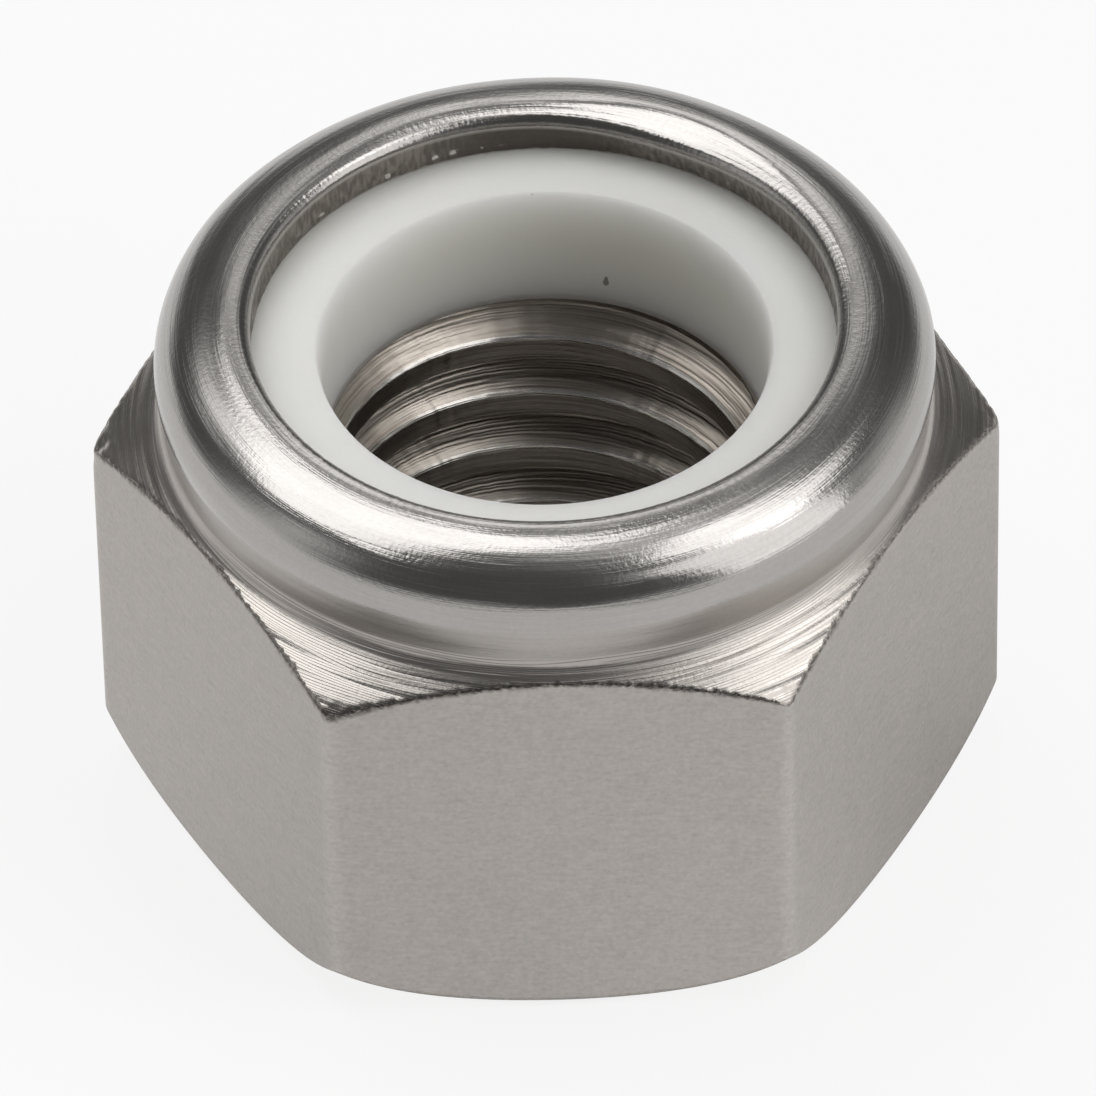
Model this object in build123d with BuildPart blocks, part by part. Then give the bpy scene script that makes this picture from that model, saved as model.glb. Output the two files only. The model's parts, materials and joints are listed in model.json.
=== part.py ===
from build123d import *
from math import radians, sqrt, tan
import os

# Nylon insert lock nut, M8 x 1.25, 13 mm across flats.
# Millimetres. The origin is the centre of the bearing face, +Z runs along the thread axis
# and leaves the nut at its insert end, and two opposite corners of the hexagon lie on X.

os.makedirs("parts", exist_ok=True)

# Bore, at the crests of the M8 x 1.25 thread
minor_diameter = 6.85
entry_diameter = 8.6            # countersink in the bearing face
exit_diameter = 7.9             # countersink in the floor of the pocket
countersink_slope = 30.0        # of both cones, from the face that they sink into

# Hexagon
across_flats = 13.0
flat_height = 7.35              # from the bearing face to the middle of a flat's upper edge
upright_edge_radius = 0.27
top_chamfer_slope = 31.0        # of the cone that takes off the upper corners, from the horizontal
bearing_step = 0.3              # from the flats in to the edge of the bearing face
bottom_chamfer_height = 0.95    # how far up the lower corners are turned away
bottom_chamfer_bulge = 0.13     # how far that chamfer swells out of the straight cone

# Collar and the lip rolled inward from it
collar_height = 2.15            # from the middle of a flat's upper edge to the top of the lip
neck_step = 0.25                # from the flats in to the collar's foot
collar_flare = 9.0              # how far the collar leans out on its way up, from the axis
collar_wall = 0.75
cove_radius = 0.55
roll_radius = 1.05
lip_reach = 0.7                 # how far the lip covers the insert
lip_edge_radius = 0.14

# Insert
insert_height = 2.32
insert_bore = 7.3
insert_clearance = 0.05         # all round, in its pocket
insert_mouth_chamfer = 0.12


# Height of the upper chamfer's cone at a distance from the axis.
def top_cone(radius):
    return flat_height - (radius - across_flats / 2) * tan(radians(top_chamfer_slope))


# Depth of a countersink that opens the bore to this diameter.
def sink_depth(diameter):
    return (diameter - minor_diameter) / 2 * tan(radians(countersink_slope))


# Worked out from the sizes above
hex_reach = across_flats / sqrt(3)
bearing_radius = across_flats / 2 - bearing_step
neck_radius = across_flats / 2 - neck_step
overall_height = flat_height + collar_height
shoulder_radius = neck_radius + (overall_height - top_cone(neck_radius)) * tan(radians(collar_flare))
pocket_radius = neck_radius - collar_wall
lip_radius = pocket_radius - lip_reach
pocket_roll_radius = roll_radius - collar_wall
insert_top = overall_height - collar_wall
pocket_floor = insert_top - insert_height


# The nut's body, made as on a lathe from hexagon bar
with BuildPart() as nut_body:
    # The bar, with its drawn edges
    with BuildSketch():
        hexagon = RegularPolygon(across_flats / 2, 6, major_radius=False)
        fillet(hexagon.vertices(), upright_edge_radius)
    extrude(amount=overall_height)

    # Half the turned section: upper chamfer, cove, collar, rolled lip, pocket, bore and
    # bearing face, closed by the rounded chamfer of the lower corners
    with BuildSketch(Plane.XZ):
        with BuildLine():
            FilletPolyline(
                (hex_reach, bottom_chamfer_height),
                (hex_reach, top_cone(hex_reach)),
                (neck_radius, top_cone(neck_radius)),
                (shoulder_radius, overall_height),
                (lip_radius, overall_height),
                (lip_radius, insert_top),
                (pocket_radius, insert_top),
                (pocket_radius, pocket_floor),
                (exit_diameter / 2, pocket_floor),
                radius=[0, cove_radius, roll_radius, lip_edge_radius, 0, pocket_roll_radius, 0],
            )
            Polyline(
                (exit_diameter / 2, pocket_floor),
                (minor_diameter / 2, pocket_floor - sink_depth(exit_diameter)),
                (minor_diameter / 2, sink_depth(entry_diameter)),
                (entry_diameter / 2, 0),
                (bearing_radius, 0),
            )
            SagittaArc(
                (bearing_radius, 0),
                (hex_reach, bottom_chamfer_height),
                -bottom_chamfer_bulge,
            )
        make_face()
    revolve(axis=Axis.Z, mode=Mode.INTERSECT)

nut_body.part.label = "nut_body"
export_step(nut_body.part, "parts/nut_body.step")


# The nylon ring, gripped between the floor of the pocket and the underside of the lip.
# Its upper corner is cut to clear the bend of the collar.
with BuildPart() as nylon_insert:
    insert_radius = pocket_radius - insert_clearance
    with BuildSketch(Plane.XZ):
        with BuildLine():
            Polyline(
                (insert_bore / 2, pocket_floor),
                (insert_radius, pocket_floor),
                (insert_radius, insert_top - pocket_roll_radius),
                (insert_radius - pocket_roll_radius, insert_top),
                (insert_bore / 2 + insert_mouth_chamfer, insert_top),
                (insert_bore / 2, insert_top - insert_mouth_chamfer),
                close=True,
            )
        make_face()
    revolve(axis=Axis.Z)

nylon_insert.part.label = "nylon_insert"
export_step(nylon_insert.part, "parts/nylon_insert.step")
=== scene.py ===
# %% [markdown]
# # A nylon insert lock nut
# This lesson dresses one small steel nut: a hexagon with a rolled collar that grips a nylon ring.
# The solids come first, packed with their real sizes, and every surface below is worked out from them.
# Lengths are in millimetres while a shape is computed, and one factor turns them into metres.

import json

import bmesh
import bpy
import numpy as np
from mathutils import Matrix, Vector


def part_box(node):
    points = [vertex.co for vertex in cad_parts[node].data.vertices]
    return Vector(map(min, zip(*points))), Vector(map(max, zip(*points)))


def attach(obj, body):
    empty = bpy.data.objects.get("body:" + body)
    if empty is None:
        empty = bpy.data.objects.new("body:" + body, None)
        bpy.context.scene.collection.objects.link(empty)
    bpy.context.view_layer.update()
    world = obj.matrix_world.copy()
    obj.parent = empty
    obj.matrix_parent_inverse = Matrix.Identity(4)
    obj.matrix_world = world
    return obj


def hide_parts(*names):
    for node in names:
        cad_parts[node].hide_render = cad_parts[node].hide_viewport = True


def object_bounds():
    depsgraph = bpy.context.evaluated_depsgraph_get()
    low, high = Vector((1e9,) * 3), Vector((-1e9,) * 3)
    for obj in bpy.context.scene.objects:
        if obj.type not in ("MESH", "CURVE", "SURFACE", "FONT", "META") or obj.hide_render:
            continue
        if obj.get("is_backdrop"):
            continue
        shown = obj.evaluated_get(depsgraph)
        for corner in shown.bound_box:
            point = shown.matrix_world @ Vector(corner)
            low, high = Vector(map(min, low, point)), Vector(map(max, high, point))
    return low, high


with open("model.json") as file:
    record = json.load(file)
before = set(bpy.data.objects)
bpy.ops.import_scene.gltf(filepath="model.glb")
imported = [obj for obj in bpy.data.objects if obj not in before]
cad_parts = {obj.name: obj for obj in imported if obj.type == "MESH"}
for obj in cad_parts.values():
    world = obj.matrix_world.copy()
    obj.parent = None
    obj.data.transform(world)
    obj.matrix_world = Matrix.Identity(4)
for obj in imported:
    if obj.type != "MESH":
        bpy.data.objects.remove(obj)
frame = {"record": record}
cad_low, cad_high = (list(corner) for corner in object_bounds())
print("CAD box in metres:", cad_low, cad_high)

# %% [markdown]
# The driving sizes are read from the frame where it knows them: the box gives the height and the
# size across flats, the insert's box gives its pocket, and the mounts give both bore radii.
# The others are the turned details that the box can't tell, named as a turner would name them.

# %% Sizes of the nut
METRES = 0.001                    # one millimetre
TAU = 2 * np.pi
SIDES = 6

mount_radius = {m["name"]: m["dims"].get("r_mm") for m in frame["record"]["mounts"]}
insert_low, insert_high = (np.array(corner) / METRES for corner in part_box("nylon_insert"))

flat_reach = cad_high[1] / METRES            # axis to a flat
overall_height = cad_high[2] / METRES
insert_radius = insert_high[0]
insert_top = insert_high[2]
pocket_floor = insert_low[2]
insert_bore = mount_radius["insert_bore"]
minor_radius = mount_radius["thread"]

flat_height = 7.35                # middle of a flat's upper edge
upper_slope = np.radians(31.0)    # cone that takes off the upper corners
corner_radius = 0.27              # drawn edges of the bar
neck_step = 0.25                  # from the flats in to the collar's foot
flare = np.radians(9.0)           # the collar leans out on its way up
cove_radius = 0.34
roll_radius = 1.05
collar_wall = 0.75
lip_reach = 0.7
lip_edge_radius = 0.19
lip_dip = np.radians(10.5)        # the lip's top slopes down towards the insert
crown_radius = 1.7                # the roll's top is nearly flat
shoulder_radius = 0.9             # and turns down into the wall more tightly
crown_end = np.radians(60.0)
seam_angle = np.radians(93.0)     # where the crown meets the lip's sloping strip
bearing_radius = flat_reach - 0.3
lower_rise = 0.95                 # height of the turned lower corners
lower_bulge = 0.13
rim_width = 0.12                  # broken edge along the top of each flat

pitch = 1.25
major_radius = 4.0
root_flat = 0.16
flank = np.radians(30.0)
crest_height_at_x = 5.195         # middle of a crest, straight out along X
entry_radius = 4.3
exit_radius = 3.95
sink_slope = np.radians(30.0)

neck_radius = flat_reach - neck_step
pocket_radius = neck_radius - collar_wall
lip_radius = pocket_radius - lip_reach
print("across flats", 2 * flat_reach, "mm, height", overall_height, "mm")

# %% [markdown]
# The nut's outside is one grid: columns go round the axis, rows follow the turned section. A grid
# needs more columns at the six drawn edges than in the middle of a flat, so the columns are spread
# unevenly by a sine that draws them towards the corners.

# %% Columns round the axis
COLUMNS_PER_SIDE = 126
CROWDING = 0.55                   # 0 spreads the columns evenly, 1 would stack them at the corners


def column_angles(per_side, crowding):
    """Angles round the axis: an even step, less a sine with one wave for each side."""
    step = np.arange(per_side) / per_side
    side = (step - crowding * np.sin(TAU * step) / TAU) * TAU / SIDES
    return (np.arange(SIDES)[:, None] * TAU / SIDES + side[None, :]).ravel()


theta = column_angles(COLUMNS_PER_SIDE, CROWDING)
print(len(theta), "columns, narrowest", np.degrees(np.diff(theta).min()).round(3), "degrees")


# %% [markdown]
# Seen from above, the bar is a hexagon with rounded corners. Its outline is a distance for each
# angle, which keeps every point of a flat exactly in its plane.

# %% Outline of the hexagon
def hexagon_reach(angle):
    """Distance to the outline: the flat's distance over the cosine of the angle off its middle,
    and close to a corner the far side of a small circle that touches both flats."""
    off_middle = np.mod(angle, TAU / SIDES) - TAU / SIDES / 2
    straight = flat_reach / np.cos(off_middle)
    centre = (flat_reach - corner_radius) / np.cos(TAU / SIDES / 2)
    off_corner = TAU / SIDES / 2 - np.abs(off_middle)
    inside = np.maximum(corner_radius ** 2 - (centre * np.sin(off_corner)) ** 2, 0)
    rounded = centre * np.cos(off_corner) + np.sqrt(inside)
    on_corner = flat_reach * np.tan(np.abs(off_middle)) > centre * np.sin(TAU / SIDES / 2)
    return np.where(on_corner, rounded, straight)


reach = hexagon_reach(theta)
print("outline from", reach.min().round(3), "to", reach.max().round(3), "mm")


# %% [markdown]
# Nothing on a worn or turned part is perfectly even. Small irregularities come from one function:
# a sum of many gentle waves that run round the axis and along the section with random directions.
# Whole numbers of waves round the axis leave no seam, and a fixed seed gives the same nut each run.

# %% Irregularities
def ripples(angle, along, around_waves, along_waves, seed, count=28):
    """Sum of cosines of (whole number x angle + number x distance along + phase), scaled so that
    its usual size is one. The wave numbers are drawn evenly up to the two given limits."""
    draw = np.random.default_rng(seed)
    whole = draw.integers(-around_waves, around_waves + 1, count)
    slant = draw.uniform(-along_waves, along_waves, count) * TAU
    phase = draw.uniform(0, TAU, count)
    total = np.zeros(np.broadcast(angle, along).shape)
    for wave in range(count):
        total += np.cos(whole[wave] * angle + slant[wave] * along + phase[wave])
    return total * np.sqrt(2 / count)


def bell(distance, width):
    """One at zero distance, falling to nothing over about twice the width."""
    return np.exp(-(distance / width) ** 2)


sample = ripples(theta, 0.0, 40, 1, 3)
print("ripples spread from", sample.min().round(2), "to", sample.max().round(2))


# %% [markdown]
# The turned section is drawn as lines and arcs of (radius, height). Lathe work gives true circles
# and cones, so each run has its own small function, and the tangent points are computed.

# %% Lines and arcs of the section
def line(start, end, count):
    """Points from start towards end in even steps, without the end."""
    share = np.arange(count)[:, None] / count
    return np.array(start) + share * (np.array(end) - np.array(start))


def arc(centre, radius, start, end, count):
    """Points on a circle, by angle from the radius axis, without the last."""
    angle = start + (end - start) * np.arange(count) / count
    return np.array(centre) + radius * np.stack([np.cos(angle), np.sin(angle)], axis=1)


def polar(angle):
    """Unit step at an angle from the radius axis."""
    return np.array([np.cos(angle), np.sin(angle)])


def upper_cone(radius):
    """Height of the upper chamfer: it falls away from the flat's upper edge by its slope."""
    return flat_height - (radius - flat_reach) * np.tan(upper_slope)


wall_side = np.array([np.cos(flare), -np.sin(flare)])
cone_side = np.array([np.sin(upper_slope), np.cos(upper_slope)])
foot = np.array([neck_radius, upper_cone(neck_radius)])
cove_centre = foot + np.linalg.solve(np.stack([wall_side, cone_side]), [cove_radius] * 2)
step_in = crown_radius - shoulder_radius
shoulder_height = overall_height - crown_radius + step_in * np.sin(crown_end)
wall_lean = (shoulder_height - foot[1]) * np.sin(flare)
shoulder_reach = foot[0] + (wall_lean - shoulder_radius) / np.cos(flare)
shoulder_centre = np.array([shoulder_reach, shoulder_height])
crown_centre = shoulder_centre - step_in * polar(crown_end)
seam_point = crown_centre + crown_radius * polar(seam_angle)
print("collar at its widest", (shoulder_reach + shoulder_radius).round(3), "mm from the axis")


# %% [markdown]
# From the neck outwards the surface is a height over the radius, first the hollow cove, then the
# cone. The same function serves every column, and each column only stops at its own outline.

# %% Heights over the radius
def upper_height(radius):
    """Lower half of the cove's circle, up to where it touches the cone, and the cone beyond."""
    touch = cove_centre - cove_radius * cone_side
    fall = np.clip(cove_radius ** 2 - (radius - cove_centre[0]) ** 2, 0, None)
    return np.where(radius < touch[0], cove_centre[1] - np.sqrt(fall), upper_cone(radius))


def lower_height(radius):
    """Arc from the bearing face to the sharp corner's height, which swells out of its chord."""
    chord = np.array([flat_reach / np.cos(TAU / SIDES / 2) - bearing_radius, lower_rise])
    length = np.hypot(*chord)
    bend = (length ** 2 / 4 + lower_bulge ** 2) / (2 * lower_bulge)
    normal = np.array([chord[1], -chord[0]]) / length
    centre = np.array([bearing_radius, 0]) + chord / 2 - normal * (bend - lower_bulge)
    across = np.clip(bend ** 2 - (radius - centre[0]) ** 2, 0, None)
    return centre[1] - np.sqrt(across)


narrowest = cove_centre[0] - cove_radius
print("neck", narrowest.round(3), "mm, lower edge of a flat", lower_height(flat_reach).round(3), "mm")

# %% [markdown]
# Now the rows, zone by zone. Those of the pocket, lip, roll and collar are the same all the way
# round. They are drawn once, as lines and arcs, and repeated for every column.

# %% Rows of the collar
FLOOR_RING = 0.5                  # the pocket's floor begins this far out from the bore's mouth
CUT_FOOT = 0.03                   # the torn edge begins this far over the insert


def round_rows(points):
    """A run of the turned section, repeated for every column."""
    return np.repeat(points[:, None, :], len(theta), axis=1)


def rows_between(start, end, shares, height):
    """Rows at shares of the way from one radius to another, raised by a height over the radius."""
    radius = start + np.array(shares)[:, None] * (end - start)
    return np.stack([radius, height(radius)], axis=2)


def collar_zones():
    """Rows from the pocket's floor up under the lip, over the roll and down the collar's wall."""
    inner_roll = roll_radius - collar_wall
    edge_fall = (seam_point[0] - lip_radius - lip_edge_radius) * np.tan(lip_dip)
    edge_centre = np.array([lip_radius + lip_edge_radius,
                            seam_point[1] - edge_fall - lip_edge_radius / np.cos(lip_dip)])
    edge_end = edge_centre + lip_edge_radius * polar(TAU / 4 + lip_dip)
    cove_start = cove_centre - cove_radius * wall_side
    under = (pocket_radius - inner_roll, insert_top - inner_roll)
    cut_start = (lip_radius, insert_top + CUT_FOOT)
    return {
        "pocket": np.concatenate([
            line((exit_radius + FLOOR_RING, pocket_floor), (pocket_radius, pocket_floor), 1),
            line((pocket_radius, pocket_floor), (pocket_radius, under[1]), 1),
            arc(under, inner_roll, 0, TAU / 4, 3),
            line((under[0], insert_top), (lip_radius, insert_top), 1),
            line((lip_radius, insert_top), cut_start, 1),
        ]),
        "cut": line(cut_start, edge_centre - [lip_edge_radius, 0], 8),
        "brow": arc(edge_centre, lip_edge_radius, TAU / 2, TAU / 4 + lip_dip, 9),
        "lip": line(edge_end, seam_point, 5),
        "roll": np.concatenate([
            arc(crown_centre, crown_radius, seam_angle, crown_end, 11),
            arc(shoulder_centre, shoulder_radius, crown_end, -flare, 12),
        ]),
        "wall": np.concatenate([
            line(shoulder_centre + shoulder_radius * wall_side, cove_start, 4),
            arc(cove_centre, cove_radius, TAU / 2 - flare, TAU / 2, 1),
        ]),
    }


collar_rows = collar_zones()
print({name: len(points) for name, points in collar_rows.items()}, "rows on the collar")

# %% [markdown]
# The cutter that took off the upper corners has left a small ragged rim along the top of each flat.
# It is a narrow bevel whose width wavers, and it is widest at one corner that has been chipped.

# %% Broken rim of the flats
RIM_WAVERS = (                    # share of the rim's width, most waves round, seed
    (0.26, 300, 11),
    (0.2, 40, 12),
)
RIM_LIMITS = (0.45, 1.8)          # narrowest and widest, as shares of the rim's width
CHIPPED_CORNER = 4
CHIP_BELLS = (                    # how much wider, over how many millimetres
    (1.0, 0.16),
    (0.5, 1.3),
)


def corner_angle(corner):
    """Angle round the axis from one corner, numbered from +X."""
    return np.abs(np.mod(theta - corner * TAU / SIDES + TAU / 2, TAU) - TAU / 2)


def rim_widths():
    """Width of the rim at each column: one plus its wavers, held inside its limits, plus the chip."""
    wander = 1 + sum(share * ripples(theta, 0.0, waves, 0, seed) for share, waves, seed in RIM_WAVERS)
    gap = corner_angle(CHIPPED_CORNER) * flat_reach
    chip = sum(much * bell(gap, width) for much, width in CHIP_BELLS)
    return rim_width * (np.clip(wander, *RIM_LIMITS) + chip)


rim = rim_widths()
print("rim from", rim.min().round(3), "to", rim.max().round(3), "mm wide")

# %% [markdown]
# The rows of the chamfers and flats depend on the column, because they end at the hexagon's outline.
# On a flat they lie close together just under the rim, where the corners are bruised.

# %% Rows of the body
EAR_ROWS = np.linspace(0, 1, 17) ** 1.25
FLAT_ROWS = np.array([0, 0.01, 0.025, 0.04, 0.06, 0.09, 0.2, 0.4, 0.6, 0.8, 0.93, 0.985, 1])
LOWER_ROWS = (0.03, 0.15, 0.35, 0.55, 0.78, 1)
RIM_INWARD = 0.55                 # how far the rim lies in from the flat, as a share of its width
RIM_MIDDLE = (0.16, 0.32)         # place of its middle row, inward and down, as shares too
FACE_RINGS = (0.04, 0.6)          # rings of the bearing face, millimetres in from its edge


def body_zones():
    """All rows, by zone, from the pocket's floor over the collar and down to the bearing face."""
    zones = {name: round_rows(points) for name, points in collar_rows.items()}
    chamfer_end = reach - RIM_INWARD * rim
    crest = upper_height(chamfer_end)
    side_top = crest - rim
    rim_mid = np.stack([reach - RIM_MIDDLE[0] * rim, crest - RIM_MIDDLE[1] * rim], axis=1)[None]
    heights = side_top + FLAT_ROWS[:, None] * (lower_height(reach) - side_top)
    zones["ear"] = rows_between(narrowest, chamfer_end, EAR_ROWS, upper_height)
    zones["rim"] = rim_mid
    zones["flat"] = np.stack([np.broadcast_to(reach, heights.shape), heights], axis=2)
    zones["lower"] = rows_between(reach, np.full_like(reach, bearing_radius), LOWER_ROWS, lower_height)
    zones["face"] = round_rows(np.array([[bearing_radius - inward, 0] for inward in FACE_RINGS]))
    return zones


zones = body_zones()
print({name: rows.shape[0] for name, rows in zones.items()}, "rows by", len(theta), "columns")

# %% [markdown]
# The roller that folded the lip pressed harder at the back. There the lip's sloping strip is wider,
# because its seam with the crown lies further out. This is done to the finished rows: nothing
# inside the new seam stays higher than a cone that starts at it.

# %% Widen the lip's strip
SEAM_MOVES = (                    # middle in degrees, spread in radians, millimetres outward
    (58.0, 0.45, 0.26),
    (108.0, 0.5, 0.10),
)


def shift(zone, radius_move, height_move):
    """Moves a zone's points outward and upward by arrays of millimetres."""
    zones[zone][..., 0] += radius_move
    zones[zone][..., 1] += height_move


def row_shares(zone, low=0.0, high=1.0):
    """A column of even numbers, one for each row of a zone."""
    return np.linspace(low, high, zones[zone].shape[0])[:, None]


def widen_strip():
    """Moves the seam outward along the crown, presses the strip down to the cone that falls inward
    from there by the lip's dip, and lowers the lip's edge as much."""
    outward = sum(width * bell(theta - np.radians(middle), spread) for middle, spread, width in SEAM_MOVES)
    new_seam = seam_point[0] + outward
    start = crown_centre[1] + np.sqrt(crown_radius ** 2 - (new_seam - crown_centre[0]) ** 2)
    for zone in ("lip", "roll"):
        radius, height = zones[zone][..., 0], zones[zone][..., 1]
        cone = start - (new_seam - radius) * np.tan(lip_dip)
        zones[zone][..., 1] = np.where(radius < new_seam, np.minimum(height, cone), height)
    sink = seam_point[1] - start + outward * np.tan(lip_dip)
    shift("brow", 0, -sink)
    shift("cut", 0, -sink * row_shares("cut"))
    return new_seam


new_seam = widen_strip()
print("seam from", new_seam.min().round(3), "to", new_seam.max().round(3), "mm")

# %% [markdown]
# The collar is never quite round, which makes its reflections wander. The lip's brow is nicked by
# radial chatter and its seam is ragged, more in some patches than in others.

# %% Waves and nicks on the collar
WAVE_HEIGHTS = {"lip": 0.006, "roll": 0.007, "wall": 0.004}
NICKS = (0.006, 0.003)            # millimetres outward and upward, on the brow
SEAM_RAGS = (0.006, 0.0008)       # and along the seam
SEAM_REACH = 0.07                 # how far the rags reach to either side of the seam
PATCH_LIMIT = 1.2
PLAIN_SHARE = 0.15                # rags between the patches


def waver_collar():
    """Long waves, outward and upward, but only outward on the upright wall."""
    for zone, size in WAVE_HEIGHTS.items():
        along = zones[zone][..., 0] - zones[zone][..., 1]
        wave = size * ripples(theta[None], along, 9, 0.5, 21)
        shift(zone, 0.6 * wave, wave if zone != "wall" else 0)


def nick_lip():
    """Short waves round the axis, times patches: on the brow they grow towards the top, and on the
    strip and crown they fade away from the seam."""
    patch = np.clip(ripples(theta[None], 0.0, 7, 0, 32), 0, PATCH_LIMIT)
    chatter = ripples(theta[None], 0.0, 330, 0, 31, 60) * patch * row_shares("brow")
    shift("brow", NICKS[0] * chatter, NICKS[1] * chatter)
    ragged = ripples(theta[None], 0.0, 260, 0, 34, 60) * (PLAIN_SHARE + patch)
    for zone in ("lip", "roll"):
        at_seam = ragged * bell(zones[zone][..., 0] - new_seam, SEAM_REACH)
        shift(zone, SEAM_RAGS[0] * at_seam, SEAM_RAGS[1] * at_seam)


waver_collar()
nick_lip()
roll_heights = zones["roll"][..., 1]
print("roll from", roll_heights.min().round(3), "to", roll_heights.max().round(3), "mm high")

# %% [markdown]
# The lip's cut edge is torn all round. At the back left small beads of steel hang from it over the
# nylon, and at the back right the lip reaches a little further in.

# %% The torn edge
TEAR_DEPTH = 0.010
BEAD_LENGTH = 0.03
BEAD_FOOT = 0.3                   # only waves higher than this become beads
BEAD_LIMIT = 1.2
BEAD_PLACE = (0.3, 0.2)           # middle and spread on the cut, as shares of its height
BEADED_SIDE = (np.radians(122.0), 0.45)      # middle and spread round the axis
LONGER_LIP = 0.12
LONGER_SIDE = (np.radians(62.0), 0.42)


def tear_edge():
    """Waves in all directions, strongest in the middle of the cut. Beads are the crests of other
    waves, held to the lower part of the cut and to one side. Gives back the beads, from 0 up."""
    share = row_shares("cut")
    tear = ripples(theta[None], 0.7 * share, 160, 2.5, 33, 60)
    shift("cut", TEAR_DEPTH * tear * np.sin(np.pi * (0.15 + 0.8 * share)), 0)
    beads = np.clip(ripples(theta[None], 1.5 * share, 110, 1.5, 35, 60) - BEAD_FOOT, 0, BEAD_LIMIT)
    beads = beads * bell(share - BEAD_PLACE[0], BEAD_PLACE[1])
    beads = beads * bell(theta[None] - BEADED_SIDE[0], BEADED_SIDE[1])
    shift("cut", -BEAD_LENGTH * beads, 0)
    return beads


def stretch_lip():
    """Carries the lip's edge inward along its slope, and the strip behind it less and less."""
    longer = LONGER_LIP * bell(theta[None] - LONGER_SIDE[0], LONGER_SIDE[1])
    fades = {"cut": row_shares("cut"), "brow": 1.0, "lip": row_shares("lip", 1.0, 0.0)}
    for zone, share in fades.items():
        shift(zone, -longer * share, -longer * share * np.tan(lip_dip))


beads = tear_edge()
stretch_lip()
print("lip's edge reaches in to", zones["brow"][..., 0].min().round(3), "mm")

# %% [markdown]
# The six upper corners are bruised, each in its own way. A bruise could be sculpted by hand, but
# waves that fade away from the corner's tip crumple it too, and they come out the same each run.

# %% Bruised corners
CORNER_BRUISES = {                # corner number from +X: depth and size in millimetres
    0: (0.03, 0.25),
    1: (0.02, 0.2),
    2: (0.03, 0.22),
    3: (0.04, 0.26),
    4: (0.04, 0.2),
    5: (0.05, 0.22),
}
BRUISE_INWARD = (0.5, 0.3)        # share of the depth everywhere, and share that the waves add
BRUISE_DOWN = (0.35, 0.35)


def bruise_corners():
    """Pushes points in and down by a depth, times a bell round the tip, times a share plus waves."""
    tip_height = upper_cone(reach.max())
    for corner, (depth, size) in CORNER_BRUISES.items():
        around = corner_angle(corner)[None]
        for zone in ("ear", "rim", "flat"):
            radius, height = zones[zone][..., 0], zones[zone][..., 1]
            far = np.sqrt((radius * around) ** 2 + (height - tip_height) ** 2
                          + (radius - reach.max()) ** 2)
            near = depth * bell(far, size)
            crumple = ripples(theta[None], 2 * radius + height, 110, 2.2, 50 + corner, 60)
            shift(zone, -near * (BRUISE_INWARD[0] + BRUISE_INWARD[1] * crumple),
                  -near * (BRUISE_DOWN[0] + BRUISE_DOWN[1] * crumple))


bruise_corners()
print("deepest bruise", max(depth for depth, size in CORNER_BRUISES.values()), "mm")

# %% [markdown]
# The corner at the front right was struck on its very tip, which left a small facet. A cut through
# the mesh would need new faces. Instead the points above the facet's plane are lowered onto it.

# %% Blunted corner
BLUNTED_CORNER = 5
BLUNT_LENGTH = 0.21               # from the tip to where the facet begins
BLUNT_MARGIN = 0.05               # points a little behind that are held to the plane too
blunt_slope = np.radians(46.0)


def blunt_tip(corner):
    """Cuts one tip by a steeper plane: no point stays higher than the plane over its distance
    along the corner's own direction."""
    along = np.cos(theta - corner * TAU / SIDES)
    start = reach.max() - BLUNT_LENGTH
    for zone in ("ear", "rim", "flat"):
        radius, height = zones[zone][..., 0], zones[zone][..., 1]
        plane = upper_cone(start) - (radius * along[None] - start) * np.tan(blunt_slope)
        near = radius * along[None] > start - BLUNT_MARGIN
        height[near] = np.minimum(height, plane)[near]


blunt_tip(BLUNTED_CORNER)
flat_tops = zones["flat"][0, :, 1]
print("flats end between", flat_tops.min().round(3), "and", flat_tops.max().round(3), "mm")

# %% [markdown]
# The bore is a screw thread, tapped right hand. A thread is a ribbon: its rows climb one pitch for
# each turn, so every crest and root runs along a row and stays sharp. Where the ribbon passes the
# ends of the hole its points are held at the end, and the countersinks open it wider.

# %% Rows of the thread
THREAD_STEP = 3                   # the thread takes every third column
CREST_ROUNDING = 0.022
THREAD_WAVER = 0.004
thread_depth = major_radius - minor_radius
half_crest = pitch / 2 - root_flat / 2 - thread_depth * np.tan(flank)


def soft_positive(value, width):
    """The positive part of a value, with the corner at zero rounded over a width."""
    return (value + np.sqrt(value ** 2 + width ** 2)) / 2


def thread_radius(offset):
    """Radius by distance along the axis from a crest's middle: a flat crest, a straight flank and
    a flat root, with both corners rounded."""
    climb = soft_positive(np.abs(offset) - half_crest, CREST_ROUNDING) / np.tan(flank)
    return major_radius - soft_positive(thread_depth - climb, CREST_ROUNDING)


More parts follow.
